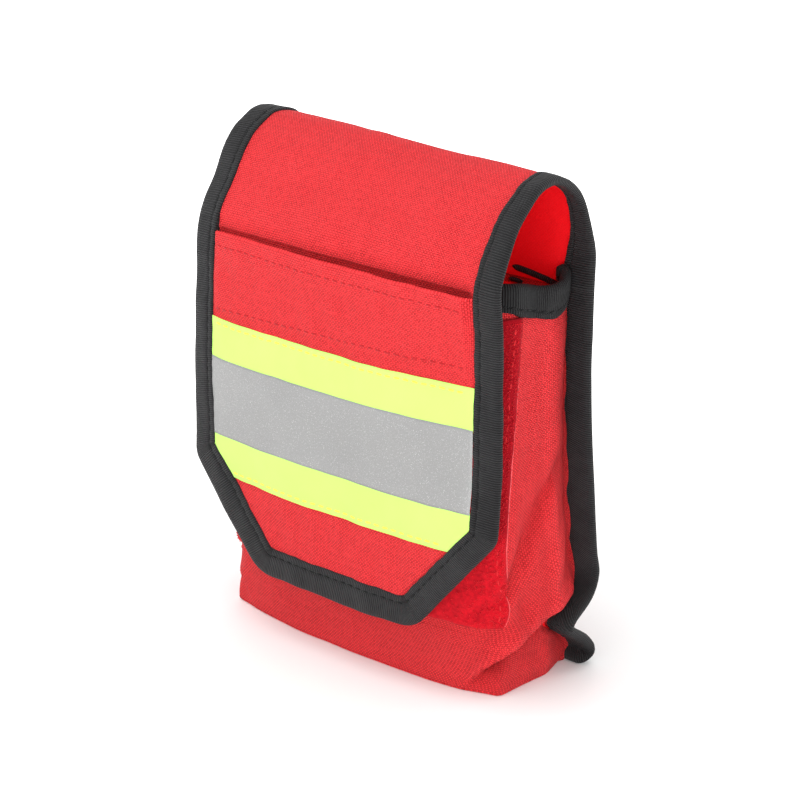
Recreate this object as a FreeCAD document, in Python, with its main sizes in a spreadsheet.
import FreeCAD, Part
import Sketcher
import math
import os

# Belt pouch with a folded fire blanket in it.
# Frame: millimetres, origin at the centre of the base on the floor, -Y is the front,
# +X is to the right for someone facing the front, +Z is up.

V = FreeCAD.Vector
SIDES = (-1, 1)
LEAVES = 6  # folds in the blanket

# name, value, note
SIZES = [
    # pouch body
    ("gap", 0.1, "clearance kept between sewn layers"),
    ("overcut", 1.0, "how far a cut runs past the cloth"),
    ("body_half", 52.5, "half width of the pouch body"),
    ("cloth", 1.4, "thickness of front, gussets and base"),
    ("base_front", 17.4, "front edge of the base, ahead of the origin"),
    ("belly_front", 19.6, "front panel at its fullest"),
    ("mouth_front", 18.6, "front panel at the mouth"),
    ("belly_low", 35.0, "height where the belly starts"),
    ("belly_high", 85.0, "height where the belly ends"),
    ("mouth_low", 105.0, "height where the panel turns upright again"),
    ("body_top", 119.0, "raw top edge of front and gussets"),
    ("back_foot", 17.4, "outer face of the back panel at the floor"),
    ("back_lean", 1.7, "forward lean of the back panel, degrees"),
    ("back_thick", 1.6, "back panel, two plies"),
    ("back_top", 124.0, "top of the upright part of the back"),
    ("back_play", 0.05, "extra clearance from gussets to back panel"),
    ("base_play", 0.25, "base stops this much short of the gussets' back edge"),
    # bindings
    ("bind_wide", 10.0, "visible width of the edge binding"),
    ("bind_thick", 0.8, "one ply of edge binding"),
    ("edge_half", 59.5, "half width over the bindings of back and flap"),
    ("relief_mid", 2.0, "middle of the inner leaf's cut, inside the back panel"),
    ("relief_deep", 3.9, "depth of the inner leaf's cut"),
    ("mouth_top", 120.0, "top of the mouth binding"),
    ("gusset_end", 10.5, "where the mouth binding stops towards the back"),
    # dome and shoulder of the flap
    ("dome_low", 127.6, "lower edge of the dome part of the flap"),
    ("dome_cy", 1.0, "dome arc centre, ahead of the origin"),
    ("dome_cz", 138.5, "dome arc centre height"),
    ("dome_round", 13.5, "dome arc radius, middle of the cloth"),
    ("shoulder_cy", 17.5, "shoulder arc centre, ahead of the origin"),
    ("shoulder_cz", 124.2, "shoulder arc centre height"),
    ("shoulder_round", 8.5, "shoulder arc radius, middle of the cloth"),
    ("dome_thick", 1.6, "flap cloth over the dome"),
    # upright front of the flap
    ("flap_top", 123.3, "top of the upright front of the flap"),
    ("flap_low", 18.1, "lower edge of the flap"),
    ("cut_x", 29.7, "half width left between the cut corners"),
    ("cut_z", 51.8, "height where the cut corners start"),
    ("slant_side", 0.379, "rise of the upper end of a cut corner per inset"),
    ("slant_foot", 0.424, "inward shift of its lower end per inset"),
    ("flap_mid", 25.925, "middle of the flap front's layers, ahead of origin"),
    ("flap_ply", 1.2, "inner ply of the flap front"),
    ("pocket_ply", 1.05, "outer ply (flat pocket) of the flap front"),
    ("pocket_top", 121.8, "hem of the flat pocket"),
    ("tape_low", 46.6, "lower edge of the high-visibility tape"),
    ("tape_wide", 50.0, "width of the high-visibility tape"),
    ("tape_thick", 0.7, "thickness of the tape"),
    ("tape_lift", 0.1, "tape's slanted ends start above the binding's corner"),
    ("tape_trim", 0.15, "tape's lower corners, drawn in from the binding"),
    ("stripe_wide", 25.0, "width of the reflective stripe"),
    ("stripe_thick", 0.3, "thickness of the reflective stripe"),
    # hook and loop patches
    ("patch_half", 51.5, "half width of the front loop patch"),
    ("patch_low", 21.0, "lower edge of the front loop patch"),
    ("patch_high", 108.0, "upper edge of the front loop patch"),
    ("pile_thick", 1.4, "thickness of hook or loop tape"),
    ("hook_half", 30.0, "half width of the flap's hook patch"),
    ("hook_low", 34.0, "lower edge of the flap's hook patch"),
    ("hook_high", 84.0, "upper edge of the flap's hook patch"),
    # stitch rows
    ("thread", 0.5, "width of a stitch row"),
    ("thread_high", 0.22, "height of a stitch row"),
    ("bind_row", 2.0, "row in from the inner edge of a binding"),
    ("mouth_row", 2.2, "row above the lower edge of the mouth binding"),
    ("floor_row", 1.8, "row down from the bottom binding's width"),
    ("patch_row", 1.6, "row in from the side of the front loop patch"),
    ("row_end", 0.2, "rows stop short of the tape's half width"),
    ("low_row_end", 0.4, "the tape's lower row stops short of its corner"),
    ("tape_row", 1.4, "row in from the tape's long edges"),
    ("hem_row", 3.2, "row below the pocket's hem"),
    ("over_row", 2.4, "row above the tape"),
    # blanket and pull tabs
    ("blanket_half", 47.0, "half width of the folded blanket"),
    ("blanket_front", 14.5, "front of the folded blanket"),
    ("leaf", 3.6, "thickness of one fold of the blanket"),
    ("leaf_gap", 0.48, "air between folds"),
    ("blanket_low", 4.0, "underside of the folded blanket"),
    ("blanket_top", 94.0, "top of the folded blanket"),
    ("tab_inner", 12.0, "inner edge of a pull tab"),
    ("tab_wide", 20.0, "width of a pull tab"),
    ("tab_rise", 10.0, "how far a pull tab stands up"),
    # belt loop
    ("strap_half", 44.0, "half width of the belt loop"),
    ("strap_thick", 1.8, "thickness of the belt loop"),
    ("belt_gap", 6.5, "room for the belt behind the loop"),
    ("anchor_low", 28.0, "lower end of the sewn foot of the belt loop"),
    ("anchor_high", 37.6, "upper end of the sewn foot"),
    ("tail_low", 97.0, "where the loop comes back to the panel"),
    ("tail_high", 117.0, "free end of the belt loop"),
    ("tail_gap", 4.0, "inner face of the loop's free end above the panel"),
    ("pile_half", 46.0, "half width of the belt loop's loop patch"),
    ("pile_rise", 1.0, "loop patch starts above tail_low"),
    ("hook_rise", 1.5, "hook patch starts above tail_low"),
    ("hook_drop", 0.5, "hook patch ends below tail_high"),
    ("belt_margin", 1.0, "hook patch and rows, in from the sides"),
    ("foot_row_low", 1.5, "lower foot row above anchor_low"),
    ("foot_row_high", 2.5, "upper foot row below anchor_high"),
    ("pile_row", 1.5, "loop patch row below tail_high"),
    # press studs
    ("snap_x", 33.0, "press studs, distance from the middle"),
    ("snap_z", 107.5, "press studs, height"),
    ("snap_hole", 2.05, "radius of the hole for a press stud's shank"),
    ("snap_play", 0.1, "shank radius under the hole's"),
    ("snap_clear", 6.0, "radius of the holes in the belt patches"),
    ("snap_plate", 0.8, "thickness of post and stud plates"),
    ("post_round", 5.5, "radius of the post's plate"),
    ("stud_round", 5.0, "radius of the stud's plate"),
    ("knob_round", 2.7, "radius of the stud's knob"),
    ("knob_mid", 1.75, "middle of the knob, above the plate's underside"),
    ("knob_long", 3.3, "length of the knob"),
    ("socket_round", 5.0, "outer radius of the socket"),
    ("socket_bore", 3.0, "bore radius of the socket"),
    ("socket_long", 2.2, "length of the socket"),
    ("cap_round", 6.2, "radius of the cap's rim"),
    ("cap_thick", 0.7, "thickness of the cap's rim"),
    ("crown_round", 5.0, "radius of the cap's raised middle"),
    ("crown_mid", 0.85, "middle of that raise, above the rim's underside"),
    ("crown_thick", 0.8, "thickness of that raise"),
]

# Side outline of a pull tab: y, drop below the tab's top (None is the tab's foot).
TAB_ARCH = [
    (-7, None), (-7, 2.5), (-5.5, 0), (-2.5, 0), (-1, 2.5), (-1, None),
    (-2.3, None), (-2.3, 3.0), (-3.1, 1.3), (-4.9, 1.3), (-5.7, 3.0), (-5.7, None),
]


class Length:
    """A length known both as sheet expression text and as a number."""

    def __init__(self, text, value):
        self.text = text
        self.value = value

    @staticmethod
    def of(other):
        return other if isinstance(other, Length) else Length(repr(float(other)), float(other))

    def join(self, sign, other, work):
        other = Length.of(other)
        return Length("(%s %s %s)" % (self.text, sign, other.text), work(self.value, other.value))

    def __add__(self, other):
        return self.join("+", other, lambda a, b: a + b)

    def __sub__(self, other):
        return self.join("-", other, lambda a, b: a - b)

    def __mul__(self, other):
        return self.join("*", other, lambda a, b: a * b)

    def __rmul__(self, other):
        return Length.of(other) * self

    def __truediv__(self, other):
        return self.join("/", other, lambda a, b: a / b)

    def __neg__(self):
        return Length("(0 - %s)" % self.text, -self.value)


class Sizes:
    """Every sheet dimension as a Length attribute."""


doc = FreeCAD.newDocument("BlanketPouch")
sheet = doc.addObject("Spreadsheet::Sheet", "Sheet")
size = Sizes()
for line, (name, value, note) in enumerate(SIZES, start=1):
    sheet.set("A%d" % line, name)
    sheet.set("B%d" % line, str(value))
    sheet.setAlias("B%d" % line, name)
    sheet.set("C%d" % line, note)
    setattr(size, name, Length("Sheet." + name, value))
doc.recompute()

bodies = []


# ---------------------------------------------------------------- sketches and solids
def new_body(label):
    body = doc.addObject("PartDesign::Body", label)
    body.Label = label
    body.AllowCompound = True
    bodies.append(body)
    return body


def new_sketch(body, plane, offset):
    """Sketch on a base plane. XZ offsets run to the front, YZ to +X, XY up."""
    offset = Length.of(offset)
    origin = [o for o in body.Origin.OriginFeatures if o.Role == plane + "_Plane"][0]
    sketch = body.newObject("Sketcher::SketchObject", body.Label + "_sketch")
    sketch.AttachmentSupport = [(origin, "")]
    sketch.MapMode = "FlatFace"
    sketch.AttachmentOffset = FreeCAD.Placement(V(0, 0, offset.value), FreeCAD.Rotation())
    sketch.setExpression("AttachmentOffset.Base.z", offset.text)
    return sketch


def drive(sketch, name, length, kind, *target):
    """Add a named constraint that follows the sheet."""
    index = sketch.addConstraint(Sketcher.Constraint(kind, *target, length.value))
    sketch.renameConstraint(index, name)
    sketch.setExpression("Constraints." + name, length.text)


def pin_point(sketch, geo, pos, x, y, tag):
    drive(sketch, "px_" + tag, x, "DistanceX", -1, 1, geo, pos)
    drive(sketch, "py_" + tag, y, "DistanceY", -1, 1, geo, pos)


def add_loop(sketch, points):
    """Closed polygon, every corner tied to the sheet."""
    points = [(Length.of(x), Length.of(y)) for x, y in points]
    count = len(points)
    first = sketch.GeometryCount
    for i in range(count):
        start, end = [V(x.value, y.value, 0) for x, y in (points[i], points[(i + 1) % count])]
        sketch.addGeometry(Part.LineSegment(start, end), False)
    for i in range(count):
        sketch.addConstraint(
            Sketcher.Constraint("Coincident", first + i, 2, first + (i + 1) % count, 1))
    for i, (x, y) in enumerate(points, start=first):
        pin_point(sketch, i, 1, x, y, str(i))


def add_disc(sketch, x, y, radius):
    circle = Part.Circle(V(x.value, y.value, 0), V(0, 0, 1), radius.value)
    geo = sketch.addGeometry(circle, False)
    drive(sketch, "rad_%d" % geo, radius, "Radius", geo)
    pin_point(sketch, geo, 3, x, y, "c%d" % geo)


def slab(body, plane, middle, thick, loops=(), discs=(), cut=False):
    """Pad (or pocket) centred on the offset plane, so it has no direction."""
    sketch = new_sketch(body, plane, middle)
    for points in loops:
        add_loop(sketch, points)
    for disc in discs:
        add_disc(sketch, *disc)
    doc.recompute()
    before = body.Shape.Volume if cut else 0.0
    kind, ending = ("PartDesign::Pocket", "_cut") if cut else ("PartDesign::Pad", "_pad")
    feature = body.newObject(kind, body.Label + ending)
    feature.Profile = sketch
    feature.Type = "Length"
    feature.SideType = "Symmetric"
    feature.Length = thick.value
    feature.setExpression("Length", thick.text)
    doc.recompute()
    if cut and not body.Shape.Volume < before - 1e-6:
        raise RuntimeError("cut removed nothing in " + body.Label)


def lean_back(body):
    """Stand a piece on the leaning plane of the back panel: y = 0 is the
    panel's outer face and z runs up the panel."""
    body.Placement = FreeCAD.Placement(
        V(0, size.back_foot.value, 0), FreeCAD.Rotation(V(1, 0, 0), size.back_lean.value))
    body.setExpression("Placement.Base.y", size.back_foot.text)
    body.setExpression("Placement.Rotation.Angle", size.back_lean.text)


# ---------------------------------------------------------------- outlines
def rect(x0, x1, y0, y1):
    return [(x0, y0), (x1, y0), (x1, y1), (x0, y1)]


def centred(half, low, high):
    return rect(-half, half, low, high)


def stitch_row(half, low):
    return centred(half, low, low + size.thread)


def across(middle, width):
    return middle - width / 2, middle + width / 2


def u_shape(outer, inner, outer_low, inner_low, top):
    """Band down one side, along the bottom and up the other side."""
    return [(-outer, top), (-outer, outer_low), (outer, outer_low), (outer, top),
            (inner, top), (inner, inner_low), (-inner, inner_low), (-inner, top)]


def ribbon(line, thick):
    """Side line thickened along y."""
    return line + [(y + thick, z) for y, z in reversed(line)]


def snap_discs(radius):
    return [(side * size.snap_x, size.snap_z, radius) for side in SIDES]


gap, cloth = size.gap, size.cloth
body_half, edge_half = size.body_half, size.edge_half
bind_wide, bind_thick = size.bind_wide, size.bind_thick
back_thick, pile_thick = size.back_thick, size.pile_thick
thread, thread_high = size.thread, size.thread_high
row_half = edge_half - bind_wide + size.bind_row

# Outer face of the front panel from the floor up: y, z.
front_line = [(-size.base_front, 0), (-size.belly_front, size.belly_low),
              (-size.belly_front, size.belly_high), (-size.mouth_front, size.mouth_low),
              (-size.mouth_front, size.body_top)]

# Back edge of the gussets at the floor.
back_low = size.back_foot - back_thick - gap - size.back_play


# ---------------------------------------------------------------- pouch body
def front_panel():
    slab(new_body("front_panel"), "YZ", 0, 2 * body_half, [ribbon(front_line, cloth)])


def gussets():
    """Side walls between the front panel and the back panel."""
    lean = Length("tan(Sheet.back_lean * 1 deg)", math.tan(math.radians(size.back_lean.value)))
    back_high = back_low - size.body_top * lean
    outline = [(y + cloth + gap, z) for y, z in front_line]
    outline += [(back_high, size.body_top), (back_low, 0)]
    for side, label in zip(SIDES, ("gusset_left", "gusset_right")):
        slab(new_body(label), "YZ", side * (body_half - cloth / 2), cloth, [outline])


def base_panel():
    slab(new_body("base_panel"), "XY", cloth / 2, cloth,
         [centred(body_half - cloth - gap, -(size.base_front - cloth - gap),
                  back_low - size.base_play)])


def back_panel():
    body = new_body("back_panel")
    slab(body, "XZ", back_thick / 2, back_thick,
         [centred(edge_half - bind_thick - 2 * gap, bind_thick + 4 * gap, size.back_top)])
    slab(body, "XZ", back_thick / 2, back_thick + 2 * size.overcut,
         discs=snap_discs(size.snap_hole), cut=True)
    lean_back(body)


def body_edge_binding():
    """Strip folded round both side edges and the bottom edge of the back. Its
    inner leaf is cut narrower, clear of the pouch body."""
    body = new_body("body_edge_binding")
    past_top = size.back_top + size.overcut
    slab(body, "XZ", back_thick / 2, back_thick + 2 * (bind_thick + gap),
         [u_shape(edge_half, edge_half - bind_wide, 2 * gap, bind_wide + 2 * gap,
                  size.back_top)])
    slab(body, "XZ", back_thick / 2, back_thick + 2 * gap,
         [centred(edge_half - bind_thick - gap, bind_thick + 3 * gap, past_top)], cut=True)
    slab(body, "XZ", back_thick + size.relief_mid, size.relief_deep,
         [centred(body_half + 2 * gap, -size.overcut, past_top)], cut=True)
    lean_back(body)


def mouth_binding():
    """Folded over the top edge of the front and both gussets."""
    body = new_body("mouth_binding")
    end = size.gusset_end
    for margin, top, stop, cut in (
            (bind_thick + gap, size.mouth_top, end, False),
            (gap, size.body_top + gap, end + size.overcut, True)):
        slab(body, "XY", top - bind_wide / 2, bind_wide,
             [u_shape(body_half + margin, body_half - cloth - margin,
                      -(size.mouth_front + margin), -(size.mouth_front - cloth - margin),
                      stop)], cut=cut)


def front_loop_patch():
    """Soft loop patch on the front panel, following its belly."""
    ramp = (size.belly_front - size.base_front) / size.belly_low
    low_front = size.base_front + ramp * size.patch_low
    line = [(-(low_front + gap), size.patch_low),
            (-(size.belly_front + gap), size.belly_low),
            (-(size.belly_front + gap), size.belly_high),
            (-(size.mouth_front + gap), size.mouth_low),
            (-(size.mouth_front + gap), size.patch_high)]
    slab(new_body("front_loop_patch"), "YZ", 0, 2 * size.patch_half, [ribbon(line, -pile_thick)])


def body_stitching():
    """Rows on the mouth binding, the back's edge binding and the loop patch."""
    side = body_half + bind_thick + 2 * gap
    front = size.mouth_front + bind_thick + 2 * gap
    slab(new_body("mouth_stitching"), "XY", size.mouth_top - bind_wide + size.mouth_row, thread,
         [u_shape(side + thread_high, side, -(front + thread_high), -front, size.gusset_end)])

    edge = new_body("body_edge_stitching")
    low = bind_wide - size.floor_row
    slab(edge, "XZ", -(bind_thick + 2 * gap + thread_high / 2), thread_high,
         [u_shape(row_half, row_half - thread, low, low + thread, size.back_top)])
    lean_back(edge)

    slab(new_body("loop_patch_stitching"), "XZ",
         size.belly_front + pile_thick + 2 * gap + thread_high / 2, thread_high,
         [rect(*across(s * (size.patch_half - size.patch_row), thread),
               size.belly_low, size.belly_high) for s in SIDES])


# ---------------------------------------------------------------- flap, dome
dome_foot = size.dome_round - size.dome_cy  # y of the cloth's middle at the dome's foot


def dome_path(body):
    """Side line of the dome: up from the back, over the top, down the slope
    and round the shoulder."""
    sketch = new_sketch(body, "YZ", 0)
    dome = V(-size.dome_cy.value, size.dome_cz.value, 0)
    shoulder = V(-size.shoulder_cy.value, size.shoulder_cz.value, 0)
    dome_r, shoulder_r = size.dome_round.value, size.shoulder_round.value
    apart = dome - shoulder
    # Direction from both centres to the slope that touches both arcs.
    angle = math.atan2(apart.y, apart.x) + math.acos((shoulder_r - dome_r) / apart.Length)
    toward = V(math.cos(angle), math.sin(angle), 0)

    def add_arc(centre, radius, start, end):
        circle = Part.Circle(centre, V(0, 0, 1), radius)
        return sketch.addGeometry(Part.ArcOfCircle(circle, start, end), False)

    def add_line(start, end):
        return sketch.addGeometry(Part.LineSegment(start, end), False)

    rise = add_line(V(dome.x + dome_r, size.dome_low.value, 0), V(dome.x + dome_r, dome.y, 0))
    dome_arc = add_arc(dome, dome_r, 0.0, angle)
    slope = add_line(dome + toward * dome_r, shoulder + toward * shoulder_r)
    shoulder_arc = add_arc(shoulder, shoulder_r, angle, math.pi)
    for before, after in ((rise, dome_arc), (dome_arc, slope), (slope, shoulder_arc)):
        sketch.addConstraint(Sketcher.Constraint("Tangent", before, 2, after, 1))
    drive(sketch, "rad_dome", size.dome_round, "Radius", dome_arc)
    drive(sketch, "rad_shoulder", size.shoulder_round, "Radius", shoulder_arc)
    pin_point(sketch, dome_arc, 3, -size.dome_cy, size.dome_cz, "dome")
    pin_point(sketch, shoulder_arc, 3, -size.shoulder_cy, size.shoulder_cz, "shoulder")
    pin_point(sketch, rise, 1, dome_foot, size.dome_low, "foot")
    drive(sketch, "end_high", size.shoulder_cz, "DistanceY", -1, 1, shoulder_arc, 2)
    return sketch


def sweep(body, path, points, label):
    """Sweep a closed section, drawn at the foot of the dome, along the dome."""
    section = new_sketch(body, "XY", size.dome_low)
    add_loop(section, points)
    doc.recompute()
    feature = body.newObject("PartDesign::AdditivePipe", label)
    feature.Profile = section
    feature.Spine = (path, ["Edge1", "Edge2", "Edge3", "Edge4"])
    doc.recompute()


def flap_top_panel():
    body = new_body("flap_top_panel")
    sweep(body, dome_path(body),
          centred(edge_half - bind_thick - 2 * gap, *across(dome_foot, size.dome_thick)),
          "flap_top_panel_sweep")


def flap_top_bindings():
    """C-shaped section folded round each side edge of the dome."""
    inner = size.dome_thick / 2 + gap
    outer = inner + bind_thick
    for side, label in zip(SIDES, ("flap_top_binding_left", "flap_top_binding_right")):
        body = new_body(label)
        lip, edge, fold = [side * (edge_half - inset) for inset in (bind_wide, 0, bind_thick)]
        sweep(body, dome_path(body),
              [(lip, dome_foot + outer), (edge, dome_foot + outer),
               (edge, dome_foot - outer), (lip, dome_foot - outer),
               (lip, dome_foot - inner), (fold, dome_foot - inner),
               (fold, dome_foot + inner), (lip, dome_foot + inner)], label + "_sweep")


def flap_top_stitching():
    body = new_body("flap_top_stitching")
    low = dome_foot + size.dome_thick / 2 + bind_thick + 2 * gap
    path = dome_path(body)
    for side in SIDES:
        sweep(body, path, rect(*across(side * row_half, thread), low, low + thread_high),
              "dome_thread_sweep")


# ---------------------------------------------------------------- flap, front
def flap_outline(inset, head):
    """Upright with two cut lower corners, drawn in by the inset all round."""
    side, foot = edge_half - inset, size.cut_x - size.slant_foot * inset
    corner, low = size.cut_z + size.slant_side * inset, size.flap_low + inset
    return [(side, head), (side, corner), (foot, low),
            (-foot, low), (-side, corner), (-side, head)]


def flap_band(outer_inset, inner_inset):
    """Band between two insets, open at the top."""
    inner = flap_outline(inner_inset, size.flap_top)
    return flap_outline(outer_inset, size.flap_top) + inner[::-1]


# Layers ahead of the origin: both plies with a gap round and between them.
stack = size.flap_ply + size.pocket_ply + 3 * gap
stack_back = size.flap_mid - stack / 2
stack_front = size.flap_mid + stack / 2
pocket_face = stack_front - gap

tape_half = edge_half - bind_wide - 2 * gap
tape_top = size.tape_low + size.tape_wide
tape_corner = size.cut_z + size.slant_side * bind_wide
cut_run = (edge_half - size.cut_x) / (size.cut_z - size.flap_low)
tape_low_half = tape_half - (tape_corner - size.tape_low) * cut_run - size.tape_trim


def flap_panels():
    inset = bind_thick + 2 * gap
    slab(new_body("flap_front_panel"), "XZ", stack_back + gap + size.flap_ply / 2,
         size.flap_ply, [flap_outline(inset, size.flap_top)])
    slab(new_body("flap_pocket_panel"), "XZ", pocket_face - size.pocket_ply / 2,
         size.pocket_ply, [flap_outline(inset, size.pocket_top)])


def flap_front_binding():
    body = new_body("flap_front_binding")
    slab(body, "XZ", size.flap_mid, stack + 2 * bind_thick, [flap_band(0, bind_wide)])
    slab(body, "XZ", size.flap_mid, stack,
         [flap_outline(bind_thick + gap, size.flap_top + size.overcut)], cut=True)


def hivis_tape():
    corner = tape_corner + size.tape_lift
    slab(new_body("hivis_tape"), "XZ", pocket_face + gap / 2 + size.tape_thick / 2,
         size.tape_thick,
         [[(tape_half, tape_top), (tape_half, corner), (tape_low_half, size.tape_low),
           (-tape_low_half, size.tape_low), (-tape_half, corner), (-tape_half, tape_top)]])


def reflective_stripe():
    middle = size.tape_low + size.tape_wide / 2
    slab(new_body("reflective_stripe"), "XZ",
         pocket_face + gap + size.tape_thick + size.stripe_thick / 2, size.stripe_thick,
         [centred(tape_half, *across(middle, size.stripe_wide))])


def flap_hook_patch():
    slab(new_body("flap_hook_patch"), "XZ", stack_back - pile_thick / 2, pile_thick,
         [centred(size.hook_half, size.hook_low, size.hook_high)])


def flap_stitching():
    """Rows on the binding, the tape and the flat pocket."""
    inset = bind_wide - size.bind_row
    row_long = tape_half - size.row_end
    slab(new_body("flap_front_stitching"), "XZ",
         stack_front + bind_thick + gap + thread_high / 2, thread_high,
         [flap_band(inset, inset + thread)])
    slab(new_body("tape_stitching"), "XZ",
         pocket_face + gap + size.tape_thick + thread_high / 2, thread_high,
         [stitch_row(row_long, tape_top - size.tape_row - thread),
          stitch_row(tape_low_half - size.low_row_end, size.tape_low + size.tape_row)])
    slab(new_body("hem_stitching"), "XZ", pocket_face + gap / 2 + thread_high / 2, thread_high,
         [stitch_row(row_long, size.pocket_top - size.hem_row - thread),
          stitch_row(row_long, tape_top + size.over_row)])


# ---------------------------------------------------------------- the blanket
def fire_blanket():
    """One strip of cloth folded to and fro: air gaps open at alternate sides."""
    body = new_body("fire_blanket")
    half, front, leaf, air = size.blanket_half, size.blanket_front, size.leaf, size.leaf_gap
    middle = (size.blanket_low + size.blanket_top) / 2
    height = size.blanket_top - size.blanket_low
    depth = LEAVES * leaf + (LEAVES - 1) * air
    slab(body, "XY", middle, height, [centred(half, -front, depth - front)])
    slots = []
    for k in range(LEAVES - 1):
        low = (k + 1) * leaf + k * air - front
        closed, opened = half - leaf, half + size.overcut
        ends = (-closed, opened) if k % 2 == 0 else (-opened, closed)
        slots.append(rect(*ends, low, low + air))
    slab(body, "XY", middle, height + 2 * size.overcut, slots, cut=True)


def pull_tabs():
    """Webbing loops standing on the top of the bundle."""
    foot = size.blanket_top + gap
    arch = [(y, foot if drop is None else foot + size.tab_rise - drop) for y, drop in TAB_ARCH]
    for side, label in zip(SIDES, ("pull_tab_left", "pull_tab_right")):
        slab(new_body(label), "YZ", side * (size.tab_inner + size.tab_wide / 2),
             size.tab_wide, [arch])


# ---------------------------------------------------------------- belt loop
# Drawn on the back panel's plane. The foot is sewn down; the strap above it
# opens away from the panel, and closes with hook-and-loop and two press studs.
strap_half, strap_thick, tail_gap = size.strap_half, size.strap_thick, size.tail_gap


def belt_loop_foot():
    body = new_body("belt_loop_foot")
    slab(body, "XZ", -(gap + strap_thick / 2), strap_thick,
         [centred(strap_half, size.anchor_low, size.anchor_high)])
    lean_back(body)


def belt_loop_strap():
    body = new_body("belt_loop_strap")
    start, bend, end = size.anchor_high, size.tail_low, size.tail_high
    # Side outline: distance behind the panel, height; the offsets shape the bends.
    inner_face = [(gap, start + 0.6), (size.belt_gap, start + 6.0),
                  (size.belt_gap, bend - 5.0), (tail_gap, bend), (tail_gap, end)]
    outer_face = [(tail_gap + strap_thick, end), (tail_gap + strap_thick, bend + 0.6),
                  (size.belt_gap + strap_thick, bend - 4.4),
                  (size.belt_gap + strap_thick, start + 5.2), (gap + strap_thick, start + 0.6)]
    slab(body, "YZ", 0, 2 * strap_half, [inner_face + outer_face])
    slab(body, "XZ", -(tail_gap + strap_thick / 2), strap_thick + 2 * size.overcut,
         discs=snap_discs(size.snap_hole), cut=True)
    lean_back(body)


def belt_patches():
    """Loop patch on the panel and hook patch on the strap, holed for the studs."""
    for label, distance, outline in (
            ("belt_pile_patch", gap + pile_thick / 2,
             centred(size.pile_half, size.tail_low + size.pile_rise, size.tail_high)),
            ("belt_hook_patch", tail_gap - gap - pile_thick / 2,
             centred(strap_half - size.belt_margin, size.tail_low + size.hook_rise,
                     size.tail_high - size.hook_drop))):
        body = new_body(label)
        slab(body, "XZ", -distance, pile_thick, [outline], snap_discs(size.snap_clear))
        lean_back(body)


def press_studs():
    """Both studs: post inside the panel, stud behind it, socket and cap on the strap."""
    shank = size.snap_hole - size.snap_play
    plate = size.snap_plate
    socket_mid = -(tail_gap - gap - size.socket_long / 2)
    cap_foot = tail_gap + strap_thick + gap
    # label, then rounds: middle ahead of the panel's outer face, thickness, radius, cut
    for label, rounds in (
            ("snap_post", [
                (back_thick + gap + plate / 2, plate, size.post_round, False),
                (back_thick / 2 + gap, back_thick + 2 * gap, shank, False)]),
            ("snap_stud", [
                (-(gap + plate / 2), plate, size.stud_round, False),
                (-(gap + size.knob_mid), size.knob_long, size.knob_round, False)]),
            ("snap_socket", [
                (socket_mid, size.socket_long, size.socket_round, False),
                (socket_mid, size.socket_long + 2 * size.overcut, size.socket_bore, True)]),
            ("snap_cap", [
                (-(cap_foot + size.cap_thick / 2), size.cap_thick, size.cap_round, False),
                (-(cap_foot + size.crown_mid), size.crown_thick, size.crown_round, False),
                (-(tail_gap + strap_thick / 2 + gap), strap_thick + 2 * gap, shank, False)])):
        body = new_body(label)
        for middle, thick, radius, cut in rounds:
            slab(body, "XZ", middle, thick, discs=snap_discs(radius), cut=cut)
        lean_back(body)


def belt_loop_stitching():
    """Two rows on the foot, one on the panel's inner face for the loop patch."""
    body = new_body("belt_loop_stitching")
    slab(body, "XZ", -(strap_thick + 2 * gap + thread_high / 2), thread_high,
         [stitch_row(strap_half - size.belt_margin, low)
          for low in (size.anchor_low + size.foot_row_low,
                      size.anchor_high - size.foot_row_high)])
    slab(body, "XZ", back_thick + gap + thread_high / 2, thread_high,
         [stitch_row(size.pile_half - size.belt_margin,
                     size.tail_high - size.pile_row - thread)])
    lean_back(body)


# ---------------------------------------------------------------- build, check, write
for build in (front_panel, gussets, base_panel, back_panel, body_edge_binding, mouth_binding,
              front_loop_patch, body_stitching, flap_top_panel, flap_top_bindings,
              flap_top_stitching, flap_panels, flap_front_binding, hivis_tape,
              reflective_stripe, flap_hook_patch, flap_stitching, fire_blanket, pull_tabs,
              belt_loop_foot, belt_loop_strap, belt_patches, press_studs,
              belt_loop_stitching):
    build()

doc.recompute()
bad = [o.Label for o in doc.Objects if "Invalid" in o.State or "Error" in o.State]
for body in bodies:
    shape = body.Shape
    if shape.isNull() or not shape.isValid() or not shape.Solids:
        bad.append("shape of " + body.Label)
if bad:
    raise RuntimeError("failed objects: " + ", ".join(bad))
os.makedirs("parts", exist_ok=True)
for body in bodies:
    body.Shape.exportStep("parts/%s.step" % body.Label)
